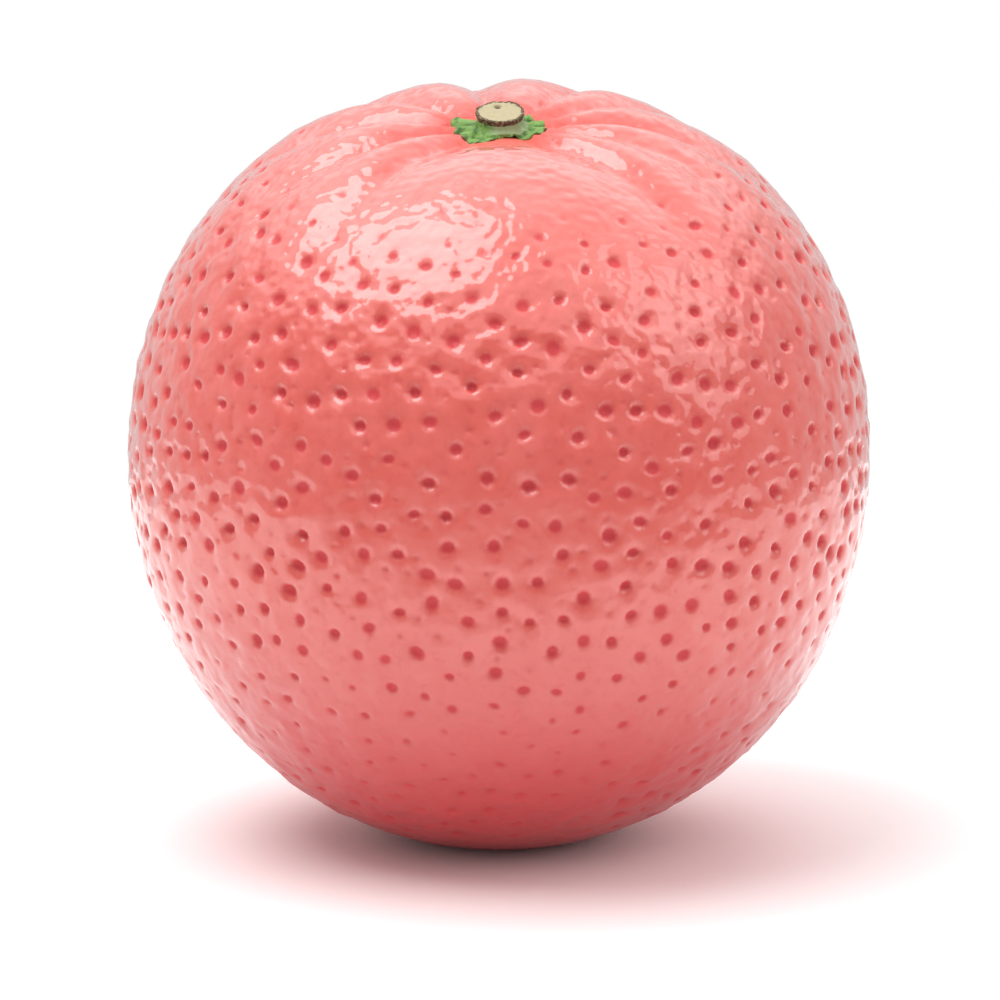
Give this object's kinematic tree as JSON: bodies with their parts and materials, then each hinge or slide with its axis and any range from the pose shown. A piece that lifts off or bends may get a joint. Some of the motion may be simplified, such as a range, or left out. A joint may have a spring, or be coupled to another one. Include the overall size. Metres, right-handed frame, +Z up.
{
  "type": "pomelo",
  "caption": "Whole pink pomelo with a pitted glossy peel, a ribbed crown, a green calyx and a cut stem stub, resting on a small flat spot.",
  "frame": {"origin": "middle of the flat spot that the fruit rests on, at the lowest plane of the part", "axes": "+Z up from the table; the stem axis leans 13 degrees from +Z towards -Y; +X to the right when the leaning stem faces the viewer"},
  "size_m": [0.15, 0.1508, 0.1545],
  "materials": {
    "peel": "glossy, waxy citrus peel with oil-gland pits",
    "calyx_green": "matt green plant tissue",
    "stem_wood": "dry cut wood with a dark bark rim"
  },
  "bodies": {
    "root": {"fruit": "peel", "calyx": "calyx_green", "stem_stub": "stem_wood"}
  },
  "joints": []
}
